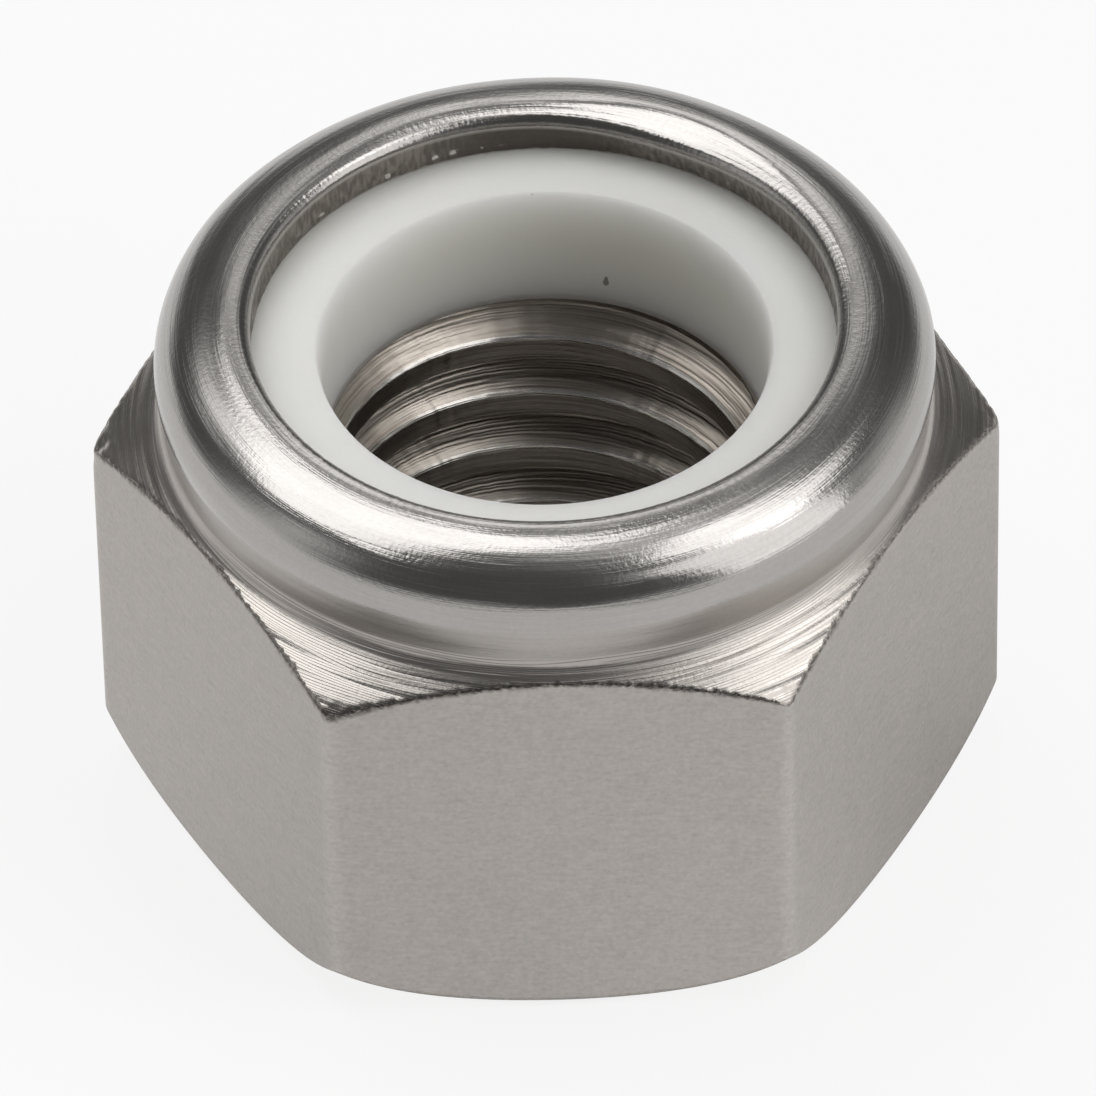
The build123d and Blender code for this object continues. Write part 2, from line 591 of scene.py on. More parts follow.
def thread_rows():
    """Ribbon rows as (radius, height): a crest's height climbs with the angle, and the radius is
    the widest of the thread and both countersinks at that height. Also each row's place in the
    pitch, as an angle."""
    half_gap = (pitch - root_flat) / 2
    bends = np.array([0, half_crest - 0.05, half_crest, half_crest + 0.04, half_crest + 0.17,
                      half_gap - 0.03, half_gap + 0.03])
    offsets = np.concatenate([bends, [pitch / 2], pitch - bends[:0:-1]])
    turns = int(np.ceil(pocket_floor / pitch)) + 2
    first = crest_height_at_x - pitch * np.ceil(crest_height_at_x / pitch + 1)
    starts = (first + np.arange(turns + 1)[:, None] * pitch + offsets[None, :]).ravel()
    angle = theta[::THREAD_STEP]
    height = np.clip(starts[:, None] + pitch * angle[None, :] / TAU, 0, pocket_floor)
    crest = crest_height_at_x + pitch * angle[None, :] / TAU
    offset = np.mod(height - crest + pitch / 2, pitch) - pitch / 2
    entry = entry_radius - height / np.tan(sink_slope)
    leave = exit_radius - (pocket_floor - height) / np.tan(sink_slope)
    radius = np.maximum(np.maximum(thread_radius(offset), entry), leave)
    radius += THREAD_WAVER * ripples(angle[None, :], height, 150, 0.6, 41, 40)
    return np.stack([radius, height], axis=2), len(offsets), TAU * offset / pitch


ribbon, rows_per_pitch, groove_angle = thread_rows()
print("thread grid:", ribbon.shape[0], "rows,", rows_per_pitch, "for each pitch")


# %% [markdown]
# Both grids become one closed skin. Neighbouring rows are joined by quads, the thread's last column
# is joined to the row one pitch further on, and two flat rings of triangles join the coarse
# thread to the finer body.

# %% Faces of the skin
def quads_round(start, row_count, columns, shift_rows=0):
    """Quads between rows of a grid that closes on itself. With a shift, the last column is joined
    to a later row of the first one, as a screw does."""
    row, column = np.meshgrid(np.arange(row_count - 1), np.arange(columns), indexing="ij")
    following = (column + 1) % columns
    jump = np.where(following == 0, shift_rows, 0)
    here = row * columns + column
    beside = (row + jump) * columns + following
    quads = np.stack([here, beside, beside + columns, here + columns], axis=2).reshape(-1, 4)
    inside = (row + jump + 1 < row_count).ravel()
    return start + quads[inside]


def ring_between(coarse_start, coarse, fine_start, step):
    """Triangles between a coarse ring and one with more points, one fan for each coarse side."""
    index = np.arange(coarse)
    fine = coarse * step
    fan = [np.stack([coarse_start + index, fine_start + index * step + k,
                     fine_start + (index * step + k + 1) % fine], axis=1) for k in range(step)]
    closing = np.stack([coarse_start + index, fine_start + (index + 1) * step % fine,
                        coarse_start + (index + 1) % coarse], axis=1)
    return np.concatenate(fan + [closing])


print(len(quads_round(0, 3, 4)), "quads join three rows of four columns")
print(len(ring_between(0, 4, 4, 3)), "triangles join a ring of four points to one of twelve")

# %% [markdown]
# A mesh object is made in one go from all its points and faces. Points that coincide are merged
# afterwards, and the normals of the closed skin are turned outward.

# %% From section to mesh
MERGE_REACH = 1e-7                # metres


def to_points(section, angle):
    """Turns (radius, height) by the column's angle into x, y and z, in metres."""
    radius, height = section[..., 0], section[..., 1]
    return np.stack([radius * np.cos(angle), radius * np.sin(angle), height], axis=2) * METRES


def new_mesh(name, points, faces, masks):
    """A mesh object from points, faces of three or four corners and named vertex values."""
    mesh = bpy.data.meshes.new(name)
    mesh.from_pydata(points.reshape(-1, 3).tolist(), [], [f for group in faces for f in group.tolist()])
    for mask, values in masks.items():
        layer = mesh.attributes.new(mask, "FLOAT", "POINT")
        layer.data.foreach_set("value", np.asarray(values, np.float32).ravel())
    skin = bmesh.new()
    skin.from_mesh(mesh)
    bmesh.ops.remove_doubles(skin, verts=skin.verts, dist=MERGE_REACH)
    bmesh.ops.dissolve_degenerate(skin, edges=skin.edges, dist=MERGE_REACH)
    bmesh.ops.recalc_face_normals(skin, faces=skin.faces)
    open_edges = sum(1 for edge in skin.edges if not edge.is_manifold)
    skin.to_mesh(mesh)
    skin.free()
    mesh.shade_smooth()
    piece = bpy.data.objects.new(name, mesh)
    bpy.context.scene.collection.objects.link(piece)
    triangles = sum(len(face.vertices) - 2 for face in mesh.polygons)
    print(name, "triangles", triangles, "open edges", open_edges)
    return piece


# %% [markdown]
# The body's points come first and the thread's follow. Four groups of faces close the skin: body,
# thread, and a ring between the two at each end of the hole.

# %% Points and faces of the nut's body
rows = np.concatenate(list(zones.values()))
body_points = to_points(rows, theta[None, :])
thread_points = to_points(ribbon, theta[None, ::THREAD_STEP])
body_count = body_points.shape[0] * body_points.shape[1]
thread_columns = thread_points.shape[1]
thread_last = body_count + (thread_points.shape[0] - 1) * thread_columns
body_last = body_count - len(theta)
body_faces = [
    quads_round(0, rows.shape[0], len(theta)),
    quads_round(body_count, ribbon.shape[0], thread_columns, rows_per_pitch),
    ring_between(thread_last, thread_columns, 0, THREAD_STEP),
    ring_between(body_count, thread_columns, body_last, THREAD_STEP),
]
all_points = np.concatenate([body_points.reshape(-1, 3), thread_points.reshape(-1, 3)])
print(len(all_points), "points,", body_count, "of them on the body")

# %% [markdown]
# Each point also carries a few numbers between 0 and 1, one for each finish. The material reads
# them to know where it is: on the flats, the torn cut edge, the rim, the collar or in the thread.
# The place in the thread's pitch is an angle, and its cosine and sine join up without a seam.

# %% Masks for the finishes
NECK_END = 6.55                   # the rougher steel of the cove fades out to this radius
NECK_FADE = 0.3
SEAM_WIDTH = 0.2
EDGE_WIDTH = 0.13                 # of the bar's drawn edges, which are rubbed brighter


def zone_mask(strengths):
    """One number for each point of the body: its zone's strength, or zero for other zones. The
    points of the thread come last and are zero too."""
    body = [np.full(zone.shape[:2], strengths.get(name, 0.0)).ravel() for name, zone in zones.items()]
    return np.concatenate(body + [np.zeros(ribbon.shape[0] * ribbon.shape[1])])


def thread_mask(values):
    """The thread's own numbers, after zeros for the whole body."""
    return np.concatenate([np.zeros(body_count), np.broadcast_to(values, ribbon.shape[:2]).ravel()])


all_radii = np.concatenate([rows[..., 0].ravel(), ribbon[..., 0].ravel()])
corner_gap = flat_reach * (TAU / SIDES / 2 - np.abs(np.mod(theta, TAU / SIDES) - TAU / SIDES / 2))
masks = {
    "flat": zone_mask({"flat": 1.0, "lower": 0.8}),
    "collar": zone_mask({"lip": 1.0, "roll": 1.0, "brow": 1.0, "wall": 0.15}),
    "cut": zone_mask({"cut": 1.0, "brow": 0.2}),
    # Beads on the torn edge, where a painted glint goes.
    "bead": zone_mask({"cut": np.clip(beads, 0, 1)}),
    "neck": zone_mask({"wall": 1.0, "ear": 1.0}) * np.clip((NECK_END - all_radii) / NECK_FADE, 0, 1),
    "seam": zone_mask({"lip": 1.0, "roll": 1.0}) * bell(all_radii - seam_point[0], SEAM_WIDTH),
    "rim": zone_mask({"rim": 1.0}),
    "pocket": zone_mask({"pocket": 1.0}),
    "ear": zone_mask({"ear": 1.0}),
    "edge": zone_mask({name: bell(corner_gap, EDGE_WIDTH) for name in zones}),
    "thread": thread_mask(1.0),
    "groove_cos": thread_mask(np.cos(groove_angle)),
    "groove_sin": thread_mask(np.sin(groove_angle)),
}
print({name: int(np.count_nonzero(values)) for name, values in masks.items()})

# %% Build the nut's body
nut = new_mesh("steel_nut", all_points, body_faces, masks)

# %% [markdown]
# The nylon ring fills the pocket under the lip. It is turned too, so its section is a short closed
# list of lines and arcs, and its mouth is softly rounded where a bolt would enter.

# %% Build the insert
MOUTH_WIDTH = 0.11
MOUTH_DEPTH = 0.75                # the mouth flares like a trumpet's bell
TUCK = 0.29                       # bevel that clears the bend of the collar
RING_COLUMNS = 360


def insert_rows():
    """Closed section of the ring: floor, outer wall, bevel, top, rounded mouth and bore."""
    mouth = np.array([insert_bore + MOUTH_WIDTH, insert_top - MOUTH_DEPTH])
    flare_out = mouth + arc((0, 0), 1.0, TAU / 4, TAU / 2, 12) * [MOUTH_WIDTH, MOUTH_DEPTH]
    return np.concatenate([
        line((insert_bore, pocket_floor), (insert_radius, pocket_floor), 4),
        line((insert_radius, pocket_floor), (insert_radius, insert_top - TUCK), 3),
        line((insert_radius, insert_top - TUCK), (insert_radius - TUCK, insert_top), 1),
        line((insert_radius - TUCK, insert_top), (mouth[0], insert_top), 8),
        flare_out,
        line((insert_bore, mouth[1]), (insert_bore, pocket_floor), 10),
    ])


ring_angle = np.arange(RING_COLUMNS) * TAU / RING_COLUMNS
ring = insert_rows()
ring = np.concatenate([ring, ring[:1]])
ring_points = to_points(np.repeat(ring[:, None, :], len(ring_angle), axis=1), ring_angle[None, :])
insert = new_mesh("nylon_ring", ring_points, [quads_round(0, len(ring), len(ring_angle))], {})

# %% [markdown]
# Finishes are node graphs. A small helper keeps their recipes readable: each method adds one node
# and gives back its output, so a pattern is written like a sum. Heights are in millimetres, and the
# bump node scales them to metres, which keeps every scratch at a real depth.

# %% A helper for finishes
class Finish:
    """A material under construction around one Principled shader."""

    def __init__(self, name, piece):
        self.material = bpy.data.materials.new(name)
        self.material.use_nodes = True
        self.tree = self.material.node_tree
        self.shader = self.tree.nodes["Principled BSDF"]
        piece.data.materials.append(self.material)

    def put(self, socket, value):
        """Links a value that is an output, and writes any other into the socket."""
        if isinstance(value, bpy.types.NodeSocket):
            self.tree.links.new(value, socket)
        else:
            socket.default_value = value

    def node(self, kind, inputs, **settings):
        """Adds a node, sets its own settings first and then its inputs."""
        made = self.tree.nodes.new(kind)
        for name, value in settings.items():
            setattr(made, name, value)
        for key, value in inputs.items():
            self.put(made.inputs[key], value)
        return made

    def math(self, operation, a, b=0.0, c=0.0):
        """One sum of Blender's Math node. MULTIPLY_ADD is a x b + c."""
        return self.node("ShaderNodeMath", {0: a, 1: b, 2: c}, operation=operation).outputs[0]

    def add(self, *terms):
        total = terms[0]
        for term in terms[1:]:
            total = self.math("ADD", total, term)
        return total

    def times(self, *factors):
        product = factors[0]
        for factor in factors[1:]:
            product = self.math("MULTIPLY", product, factor)
        return product

    def vector(self, x, y, z):
        return self.node("ShaderNodeCombineXYZ", {0: x, 1: y, 2: z}).outputs[0]

    def mask(self, name):
        return self.node("ShaderNodeAttribute", {}, attribute_name=name).outputs["Fac"]

    def noise(self, vector, scale, detail=1.0, rough=0.5):
        """Soft noise around zero, from about -1 to 1."""
        made = self.node("ShaderNodeTexNoise", {"Vector": vector, "Scale": scale, "Detail": detail,
                                                "Roughness": rough})
        return self.math("MULTIPLY_ADD", made.outputs["Fac"], 2.0, -1.0)

    def ramp(self, value, low, high, to_low=0.0, to_high=1.0):
        """A smooth step from one value to another."""
        made = self.node("ShaderNodeMapRange", {0: value, 1: low, 2: high, 3: to_low, 4: to_high},
                         interpolation_type="SMOOTHSTEP")
        return made.outputs[0]

    def mix(self, share, low, high):
        made = self.node("ShaderNodeMix", {0: share, 6: low, 7: high}, data_type="RGBA")
        return made.outputs[2]

    def finish(self, colour, roughness, height):
        """Links colour and roughness, and turns millimetres of height into bump."""
        self.put(self.shader.inputs["Base Color"], colour)
        self.put(self.shader.inputs["Roughness"], roughness)
        bump = self.node("ShaderNodeBump", {"Height": height, "Distance": METRES})
        self.put(self.shader.inputs["Normal"], bump.outputs[0])


print("a finish can:", [name for name in vars(Finish) if not name.startswith("_")])


# %% [markdown]
# Turned steel is grooved by the tool in fine rings. The pattern's place is made of the cosine and
# the sine of the angle, which close on themselves, and of one slide value that grows steadily down
# the section. Little change round the axis and much across it gives streaks along the rings.

# %% Places and streaks
def turned_place(f):
    """Cosine and sine of the angle, and radius less height in millimetres, from Object space."""
    place = f.node("ShaderNodeTexCoord", {}).outputs["Object"]
    split = f.node("ShaderNodeSeparateXYZ", {0: place})
    x, y, z = split.outputs
    radius = f.math("SQRT", f.add(f.times(x, x), f.times(y, y)))
    slide = f.times(f.math("SUBTRACT", radius, z), 1 / METRES)
    return place, f.math("DIVIDE", x, radius), f.math("DIVIDE", y, radius), slide


def streaks(f, cosine, sine, slide, around, across, seed):
    """Noise with few cells round the axis and many across the section. The seed moves its place."""
    vector = f.vector(f.math("MULTIPLY_ADD", cosine, around, seed), f.times(sine, around),
                      f.math("MULTIPLY_ADD", slide, across, seed))
    return f.noise(vector, 1.0, 0.0, 0.55)


# %% [markdown]
# Steel takes its look from patterns of very different sizes: fine rings and broad bands from the
# lathe, chatter where the lip tore, grain and brushing of the drawn bar on the flats, and stains in
# the thread. The front of the upper chamfer shows the tool itself: a saw-tooth that climbs slowly
# outward and falls back, once for each turn.

# %% Patterns on steel
STREAKS = {                       # cells round the axis, cells for each millimetre of slide, seed
    "rings": (3.0, 30.0, 10.0),
    "bands": (3.0, 6.0, 20.0),
    "chatter": (62.0, 4.0, 50.0),
    "patches": (1.6, 0.9, 60.0),
}
GRAIN_CELLS = 13.0                # for each millimetre
CLOUD_CELLS = 0.9
BRUSH_CELLS = 2.6
BRUSH_SQUASH = (1.0, 1.0, 5.0)    # brushing runs round the bar, so it changes faster up and down
GROOVE_CELLS = (9.0, 2.6, 0.3)    # cells across the pitch, round the axis, and for each millimetre
TOOL_MARKS = 15.0                 # for each millimetre of slide
TOOL_CLIMB = 0.8                  # share of a mark that climbs outward, before its short fall
TOOL_DRIFT = 0.08                 # millimetres that the bands push a mark aside


def tool_marks(f, slide, bands, sine):
    """The part of slide x marks that is left over from whole numbers, as two straight flanks, and
    only on the side that faces the camera."""
    feed = f.math("FRACT", f.times(f.math("MULTIPLY_ADD", bands, TOOL_DRIFT, slide), TOOL_MARKS))
    climb = f.times(feed, 1 / TOOL_CLIMB)
    tool = f.math("MINIMUM", climb, f.times(f.math("SUBTRACT", 1.0, feed), 1 / (1 - TOOL_CLIMB)))
    return f.times(tool, f.ramp(sine, -0.3, -0.7))


def thread_stain(f, cosine, sine, slide, groove_cos, groove_sin):
    """Noise whose place turns once for each pitch, so that it follows crest, flank and root."""
    across, around, along = GROOVE_CELLS
    place = f.vector(f.math("MULTIPLY_ADD", groove_sin, across, f.times(cosine, around)),
                     f.math("MULTIPLY_ADD", sine, around, f.times(slide, along)),
                     f.times(groove_cos, across))
    return f.noise(place, 1.0, 0.0)


def steel_patterns(f, m):
    """All patterns by name, most of them from about -1 to 1. Hair and patch are the peaks of rings
    and patches, and beside is 1 all round but at the very back, where the tear takes painted shade."""
    place, cosine, sine, slide = turned_place(f)
    p = {name: streaks(f, cosine, sine, slide, *cells) for name, cells in STREAKS.items()}
    p["hair"] = f.ramp(p["rings"], 0.32, 0.6)
    p["patch"] = f.ramp(p["patches"], -0.1, 0.35)
    p["grain"] = f.noise(place, GRAIN_CELLS / METRES, 1.0, 0.6)
    p["clouds"] = f.noise(place, CLOUD_CELLS / METRES, 1.0, 0.6)
    brush_place = f.node("ShaderNodeVectorMath", {0: place, 1: BRUSH_SQUASH}, operation="MULTIPLY")
    p["brush"] = f.noise(brush_place.outputs[0], BRUSH_CELLS / METRES, 1.0, 0.7)
    p["stain"] = thread_stain(f, cosine, sine, slide, m["groove_cos"], m["groove_sin"])
    p["tool"] = tool_marks(f, slide, p["bands"], sine)
    p["beside"] = f.ramp(sine, 1.0, 0.9)
    return p


print("streaks on steel:", list(STREAKS))


# %% [markdown]
# Masks say where each finish lies. Three more are worked out from them: what was turned, the drawn
# edges of the flats, and the corners of the thread's crests, which are smoother and get a painted
# highlight.

# %% Masks of steel
STEEL_MASKS = ("flat", "collar", "cut", "rim", "ear", "thread", "seam", "neck", "bead", "pocket",
               "groove_cos", "groove_sin")
crest_turn = TAU * half_crest / pitch
CREST_CORNER = (float(np.cos(crest_turn)), float(np.sin(crest_turn)))


def steel_masks(f):
    """All masks by name. Turned is neither flat nor thread, and crest is the thread times the
    closeness of the groove's angle to the crest's corner."""
    m = {name: f.mask(name) for name in STEEL_MASKS}
    turned = f.math("SUBTRACT", 1.0, m["flat"])
    m["turned"] = f.times(turned, f.math("SUBTRACT", 1.0, m["thread"]))
    m["edge"] = f.times(m["flat"], f.mask("edge"))
    crest = f.add(f.times(m["groove_cos"], CREST_CORNER[0]), f.times(m["groove_sin"], CREST_CORNER[1]))
    m["crest"] = f.times(m["thread"], f.ramp(crest, 0.965, 0.995))
    return m


print("a crest's corner lies", np.degrees(crest_turn).round(1), "degrees of the pitch off its middle")


# %% [markdown]
# Relief is given in millimetres for each pair of mask and pattern, and is only a few thousandths.
# Roughness starts from one base, and each finish adds or takes away its own part.

# %% Relief and roughness of steel
RELIEF = (                        # mask, pattern, millimetres
    ("flat", "grain", 0.0060),
    ("flat", "brush", 0.0040),
    ("turned", "rings", 0.0009),
    ("turned", "bands", 0.0026),
    ("turned", "hair", -0.0009),
    ("turned", "grain", 0.0011),
    ("ear", "tool", 0.0052),
    ("ear", "bands", 0.003),
    ("cut", "chatter", 0.007),
    ("cut", "grain", 0.008),
    ("rim", "grain", 0.008),
    ("thread", "stain", 0.005),
)
SEAM_CHATTER = (0.0001, 0.0007)   # everywhere along the seam, and more in patches
BASE_ROUGHNESS = 0.33
ROUGHER = {                       # what each mask adds to it
    "edge": -0.06,
    "crest": -0.12,
    "flat": 0.12,
    "collar": -0.15,
    "cut": 0.12,
    "neck": 0.1,
    "ear": -0.08,
}


def steel_relief(f, m, p):
    """Sum of mask x pattern x size, plus the chatter along the seam."""
    height = f.add(*[f.times(m[mask], p[pattern], size) for mask, pattern, size in RELIEF])
    ragged = f.math("MULTIPLY_ADD", p["patch"], SEAM_CHATTER[1], SEAM_CHATTER[0])
    return f.add(height, f.times(m["seam"], p["chatter"], ragged))


def steel_roughness(f, m, p):
    """Base plus each mask x its amount, plus a little of the patterns."""
    finishes = [f.times(m[mask], amount) for mask, amount in ROUGHER.items()]
    uneven = f.add(f.times(m["turned"], p["bands"], 0.05), f.times(p["clouds"], 0.03),
                   f.times(m["flat"], p["grain"], 0.05), f.times(p["hair"], 0.06))
    return f.add(BASE_ROUGHNESS, *finishes, uneven)


print("deepest relief", max(abs(size) for mask, pattern, size in RELIEF), "mm")


# %% [markdown]
# The colour is laid on in coats, from the widest to the smallest place. Each coat mixes the colour
# below with its own, by its mask and often by a pattern too. Last comes a grey multiplier.

# %% Colours of steel
STEEL = (0.425, 0.398, 0.371, 1)
BRIGHT = (0.39, 0.375, 0.36, 1)   # the rolled collar
GLINT_AND_RUB = (0.60, 0.58, 0.555, 1)    # painted glint on beads and crest corners, and the rubbed drawn edges
# The thread's steel: partly its own browner tone, partly painted shade that darkens the deep hole.
SHADED_BORE_STEEL = (0.37, 0.335, 0.297, 1)
TARNISH = (0.19, 0.16, 0.135, 1)  # stains in the thread
DARK_EDGES_AND_SHADE = (0.085, 0.073, 0.063, 1)   # darker rim and tear, and painted shade on the tear at the very back
TORN = (0.25, 0.23, 0.208, 1)
REFLECTOR_WHITE = (0.88, 0.86, 0.82, 1)     # inside the hidden pocket, painted near-white so that it throws more light into the nylon


def steel_colour(f, m, p):
    """Coats in order: collar, rubbed drawn edges, bore darkened as painted shade, stains, crest corners
    with a painted highlight, the tear with painted shade at the very back, beads with a painted glint,
    the pocket painted near-white to throw light into the nylon, and the rim.
    """
    colour = f.mix(m["collar"], STEEL, BRIGHT)
    colour = f.mix(f.times(m["edge"], 0.15), colour, GLINT_AND_RUB)
    # The thread takes its darker steel: painted shade inside the hole.
    colour = f.mix(m["thread"], colour, SHADED_BORE_STEEL)
    colour = f.mix(f.times(f.ramp(p["stain"], -0.1, 0.5), m["thread"], 0.6), colour, TARNISH)
    # Crest corners: a painted highlight in a brighter colour.
    colour = f.mix(f.times(m["crest"], 0.9), colour, GLINT_AND_RUB)
    # The tear is mottled by chatter, and at the very back it is all dark: painted shade under the lip.
    torn = f.mix(f.times(p["beside"], f.ramp(p["chatter"], -0.4, 0.4, 0.35, 1.0)), DARK_EDGES_AND_SHADE, TORN)
    colour = f.mix(f.times(m["cut"], 0.92), colour, torn)
    # Beads: a painted glint.
    colour = f.mix(f.ramp(m["bead"], 0.3, 0.7), colour, GLINT_AND_RUB)
    # The hidden pocket is painted near-white to throw light back into the nylon.
    colour = f.mix(m["pocket"], colour, REFLECTOR_WHITE)
    # The rim is darker, most where the grain is low.
    colour = f.mix(f.times(m["rim"], f.ramp(p["grain"], -0.2, 0.5, 0.95, 0.4)), colour, DARK_EDGES_AND_SHADE)
    bar = f.add(f.times(p["brush"], 0.09), f.times(p["grain"], 0.12))
    shade = f.add(1.0, f.times(p["clouds"], 0.05), f.times(m["flat"], bar), f.times(p["grain"], 0.06),
                  f.times(m["turned"], p["rings"], 0.06))
    shade = f.vector(shade, shade, shade)
    shaded = f.node("ShaderNodeMix", {0: 1.0, 6: colour, 7: shade}, data_type="RGBA", blend_type="MULTIPLY")
    return shaded.outputs[2]


print("plain steel", STEEL[:3], "and torn steel", TORN[:3])


# %% [markdown]
# The three recipes now go into one Principled shader. It is all metal, so the base colour is the
# colour of its reflections.

# %% Finish the nut
def steel_finish(piece):
    f = Finish("turned_stainless_steel", piece)
    m = steel_masks(f)
    p = steel_patterns(f, m)
    f.shader.inputs["Metallic"].default_value = 1.0
    f.finish(steel_colour(f, m, p), steel_roughness(f, m, p), steel_relief(f, m, p))
    print("steel:", len(f.tree.nodes), "nodes")


steel_finish(nut)

# %% [markdown]
# Natural nylon is a milky plastic. Light goes a little way into it, so its edges look soft, and its
# turned face is smooth with a few specks of swarf pressed in.

# %% Nylon
NYLON = (0.96, 0.927, 0.86, 1)
NYLON_DEEP = (0.948, 0.909, 0.838, 1)
SWARF = (0.10, 0.09, 0.08, 1)
MILK_DEPTH = 1.5                  # millimetres that light goes into it


def nylon_finish(piece):
    f = Finish("natural_nylon", piece)
    place, cosine, sine, slide = turned_place(f)
    milk = f.noise(place, 0.5 / METRES, 2.0)
    grain = f.noise(place, 9.0 / METRES, 1.0)
    rings = streaks(f, cosine, sine, slide, 2.0, 14.0, 13.0)
    speck = f.ramp(f.noise(place, 5.0 / METRES, 0.0), 0.74, 0.80)
    colour = f.mix(f.ramp(milk, -0.6, 0.6), NYLON, NYLON_DEEP)
    colour = f.mix(f.times(speck, 0.7), colour, SWARF)
    roughness = f.add(0.42, f.times(grain, 0.05), f.times(milk, 0.04))
    height = f.add(f.times(grain, 0.0015), f.times(rings, 0.0008), f.times(speck, -0.006))
    f.shader.inputs["Subsurface Weight"].default_value = 1.0
    f.shader.inputs["Subsurface Radius"].default_value = (1.0, 1.0, 0.97)
    f.shader.inputs["Subsurface Scale"].default_value = MILK_DEPTH * METRES
    f.shader.inputs["IOR"].default_value = 1.53
    f.finish(colour, roughness, height)
    print("nylon:", len(f.tree.nodes), "nodes")


nylon_finish(insert)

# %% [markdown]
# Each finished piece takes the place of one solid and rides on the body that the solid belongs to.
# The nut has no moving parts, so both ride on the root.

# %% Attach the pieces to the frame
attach(nut, "root")
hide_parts("nut_body")
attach(insert, "root")
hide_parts("nylon_insert")
print(nut.name, "and", insert.name, "ride on the root")

# %% [markdown]
# The floor is a plain pale sheet. For the camera and for reflections part of its brightness is its
# own, so that it reads as white paper and still keeps the nut's faint shadow. That glow is painted:
# in reflections it has a painted shadow beside the nut and painted light along the line between the
# two big lamps, and under the nut it is painted out.

# %% Floor
FLOOR_REACH = 2.0                 # metres from the middle to each edge
GLOW_SEEN = 0.85                  # the floor's own glow, as the camera sees it
GLOW_REFLECTED = 0.76             # and as steel and nylon see it, with a painted shadow of the nut
GLOW_GAIN = 0.22                  # painted light: more of it along the line between the two big lamps
LAMP_LINE = (0.866, -0.5, 0)
SHADE_CENTRE = (0.0055, 0.003, 0)            # metres, middle of the painted shadow that dims the glow
SHADE_REACH = (0.004, 0.011)      # metres from there to where it begins and ends to brighten
SHADE_LEAST = 0.3
BARE_REACH = (0.005, 0.0066)      # metres from the axis, between which the glow is painted out under the nut
PAPER = (0.86, 0.86, 0.86, 1)
FLOOR_DROP = 0.02 * METRES        # the sheet lies a hair under the bearing face

floor_mesh = bpy.data.meshes.new("studio_floor")
corners = np.array([[-1, -1, 0], [1, -1, 0], [1, 1, 0], [-1, 1, 0]]) * FLOOR_REACH - [0, 0, FLOOR_DROP]
floor_mesh.from_pydata(corners.tolist(), [], [(0, 1, 2, 3)])
floor = bpy.data.objects.new("studio_floor", floor_mesh)
bpy.context.scene.collection.objects.link(floor)
floor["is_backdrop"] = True


def paper_finish(piece):
    """White paper that glows a little, for camera, glossy and transmitted rays only. The glow
    stands for light that falls on the sheet, so a painted shadow fades it towards the nut and it is
    painted out under it."""
    f = Finish("white_paper", piece)
    place = f.node("ShaderNodeTexCoord", {}).outputs["Object"]
    under = f.node("ShaderNodeVectorMath", {0: place}, operation="LENGTH").outputs["Value"]
    far = f.node("ShaderNodeVectorMath", {0: place, 1: SHADE_CENTRE}, operation="DISTANCE").outputs["Value"]
    unit = f.node("ShaderNodeVectorMath", {0: place}, operation="NORMALIZE").outputs[0]
    along = f.node("ShaderNodeVectorMath", {0: unit, 1: LAMP_LINE}, operation="DOT_PRODUCT")
    along = along.outputs["Value"]
    # Painted light along the lamps' line, times a painted shadow near the nut.
    glow = f.times(f.math("MULTIPLY_ADD", f.times(along, along), GLOW_GAIN, GLOW_REFLECTED),
                   f.ramp(far, *SHADE_REACH, SHADE_LEAST, 1.0))
    path = f.node("ShaderNodeLightPath", {}).outputs
    mirrored = f.math("MAXIMUM", path["Is Glossy Ray"], path["Is Transmission Ray"])
    seen = f.math("MAXIMUM", f.times(path["Is Camera Ray"], GLOW_SEEN), f.times(mirrored, glow))
    # Painted out under the nut.
    seen = f.times(seen, f.ramp(under, *BARE_REACH))
    matt = f.node("ShaderNodeBsdfDiffuse", {"Color": PAPER})
    white = f.node("ShaderNodeEmission", {"Strength": 1.0})
    both = f.node("ShaderNodeMixShader", {0: seen, 1: matt.outputs[0], 2: white.outputs[0]})
    f.put(f.tree.nodes["Material Output"].inputs["Surface"], both.outputs[0])
    f.tree.nodes.remove(f.shader)


paper_finish(floor)
print("floor", 2 * FLOOR_REACH, "metres wide")

# %% [markdown]
# The camera looks down at 44 degrees from far away through a long lens, which is why the nut's
# upright edges stay almost parallel in the picture.

# %% Camera
view_azimuth = np.radians(-0.846)
view_elevation = np.radians(43.832)
view_roll = np.radians(-1.193)
view_distance = 235.4
view_aside = np.array([0.074, -3.243])       # how far the axis' foot lies right of and above centre
view_base = -0.321                            # height of the aimed point over the bearing face
sensor_width = 36.0
lens = 460.3


def place_camera():
    """Camera axes from azimuth, elevation and roll, and its place back along the line of sight."""
    back = np.array([np.sin(view_azimuth) * np.cos(view_elevation),
                     -np.cos(view_azimuth) * np.cos(view_elevation), np.sin(view_elevation)])
    level = np.array([np.cos(view_azimuth), np.sin(view_azimuth), 0])
    upright = np.cross(back, level)
    right = level * np.cos(view_roll) + upright * np.sin(view_roll)
    up = upright * np.cos(view_roll) - level * np.sin(view_roll)
    place = back * view_distance - right * view_aside[0] - up * view_aside[1] + [0, 0, view_base]
    matrix = np.eye(4)
    matrix[:3, :3] = np.stack([right, up, back], axis=1)
    matrix[:3, 3] = place * METRES
    data = bpy.data.cameras.new("photo_camera")
    data.sensor_width = sensor_width
    data.lens = lens
    data.clip_start = 0.01
    data.clip_end = 10
    camera = bpy.data.objects.new("photo_camera", data)
    bpy.context.scene.collection.objects.link(camera)
    camera.matrix_world = Matrix(matrix.tolist())
    bpy.context.scene.camera = camera
    return place


print("camera at", place_camera().round(1), "mm")

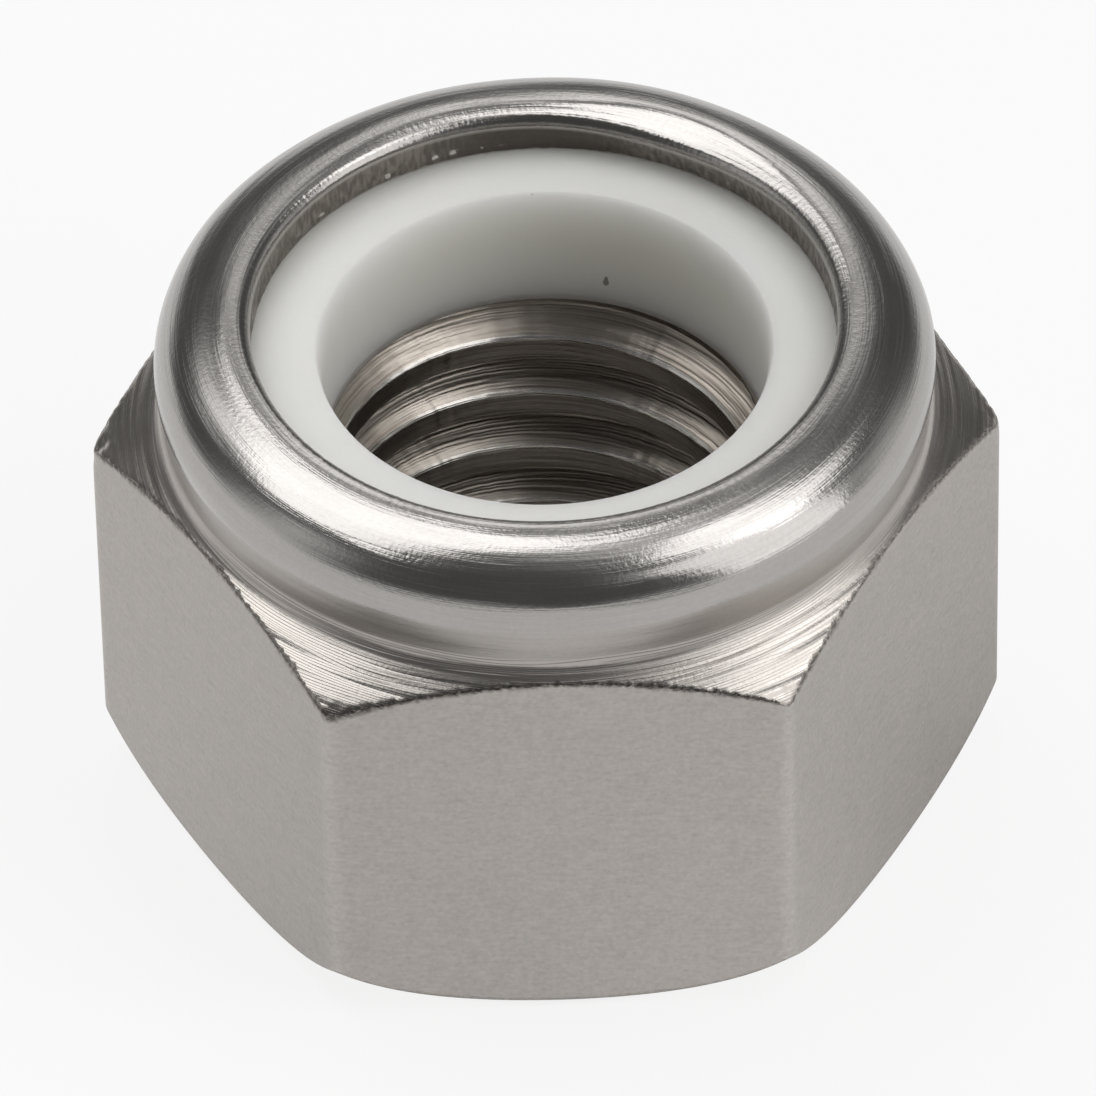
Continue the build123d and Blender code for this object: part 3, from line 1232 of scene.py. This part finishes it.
# %% [markdown]
# Polished metal shows what stands around it, so the studio is built as a sky of soft glows: each is
# a direction, a width and a strength. Their sum lights the nut, and the gaps between them are the
# dark bands that give steel its look.

# %% Studio light
SKY_BASE = 0.115
HORIZON = 0.45                    # the sweep of pale paper beyond the floor
HORIZON_SPREAD = 0.14
SKY_GLOWS = {                     # name: azimuth, elevation, width in degrees, strength
    "back_low": (176, 33, 9, 2.0),
    "back_left": (-138, 43, 9, 1.5),
    "back_right": (150, 70, 14, 0.7),
    "left_low": (-80, 10, 18, 0.6),
    "left_mid": (-76, 33, 12, 0.6),
    "right_far": (104, 14, 16, 0.5),
}


def direction(azimuth, elevation):
    """Unit vector: azimuth 0 is the camera's side and 90 its right."""
    azimuth, elevation = np.radians(azimuth), np.radians(elevation)
    return (np.sin(azimuth) * np.cos(elevation), -np.cos(azimuth) * np.cos(elevation), np.sin(elevation))


def light_studio():
    """World light: base level, plus strength x exp(-(height / spread) squared) at the horizon, plus
    strength x exp((cosine to a glow's middle - 1) / spread) for each glow."""
    world = bpy.data.worlds.new("studio")
    bpy.context.scene.world = world
    world.use_nodes = True
    tree = world.node_tree
    nodes, links = tree.nodes, tree.links
    ray = nodes.new("ShaderNodeTexCoord").outputs["Generated"]

    def math(operation, a, b):
        made = nodes.new("ShaderNodeMath")
        made.operation = operation
        for socket, value in zip(made.inputs, (a, b)):
            if isinstance(value, bpy.types.NodeSocket):
                links.new(value, socket)
            else:
                socket.default_value = value
        return made.outputs[0]

    rise = nodes.new("ShaderNodeSeparateXYZ")
    links.new(ray, rise.inputs[0])
    rise = math("MULTIPLY", rise.outputs["Z"], 1 / HORIZON_SPREAD)
    band = math("EXPONENT", math("MULTIPLY", math("MULTIPLY", rise, rise), -1.0), 0.0)
    total = math("ADD", math("MULTIPLY", band, HORIZON), SKY_BASE)
    for azimuth, elevation, width, strength in SKY_GLOWS.values():
        dot = nodes.new("ShaderNodeVectorMath")
        dot.operation = "DOT_PRODUCT"
        links.new(ray, dot.inputs[0])
        dot.inputs[1].default_value = direction(azimuth, elevation)
        spread = 1 - np.cos(np.radians(width))
        fall = math("EXPONENT", math("DIVIDE", math("SUBTRACT", dot.outputs["Value"], 1.0), spread), 0.0)
        total = math("ADD", total, math("MULTIPLY", fall, strength))
    links.new(total, nodes["Background"].inputs["Color"])


light_studio()
print(len(SKY_GLOWS), "glows, the strongest", max(glow[3] for glow in SKY_GLOWS.values()))

# %% [markdown]
# Three soft boxes give the bright, sharp-edged reflections on the collar. Each is a rectangular lamp
# that faces the nut. A lamp's power is radiance x pi x area, so its brightness stays the same when
# its size is changed.

# %% Soft boxes
SOFT_BOXES = {                    # name: azimuth, elevation, width and height in metres, radiance
    "left_box": (-136, 63.5, 0.43, 0.25, 2.45),
    "right_box": (97, 62, 0.22, 0.26, 2.3),
    "front_right_box": (65, 32, 0.37, 0.56, 1.7),
}
BOX_DISTANCE = 0.5                # metres from the nut


def soft_box(name, azimuth, elevation, width, height, radiance):
    """A rectangular lamp that faces the nut, as bright as a sheet of the given radiance."""
    data = bpy.data.lights.new(name, "AREA")
    data.shape = "RECTANGLE"
    data.size, data.size_y = width, height
    data.energy = radiance * np.pi * width * height
    lamp = bpy.data.objects.new(name, data)
    bpy.context.scene.collection.objects.link(lamp)
    outward = Vector(direction(azimuth, elevation))
    lamp.location = outward * BOX_DISTANCE
    lamp.rotation_euler = outward.to_track_quat("Z", "Y").to_euler()


for name, place in SOFT_BOXES.items():
    soft_box(name, *place)
bpy.context.scene.view_settings.view_transform = "Standard"
print(list(SOFT_BOXES), "stand", BOX_DISTANCE, "metres away")

# %% [markdown]
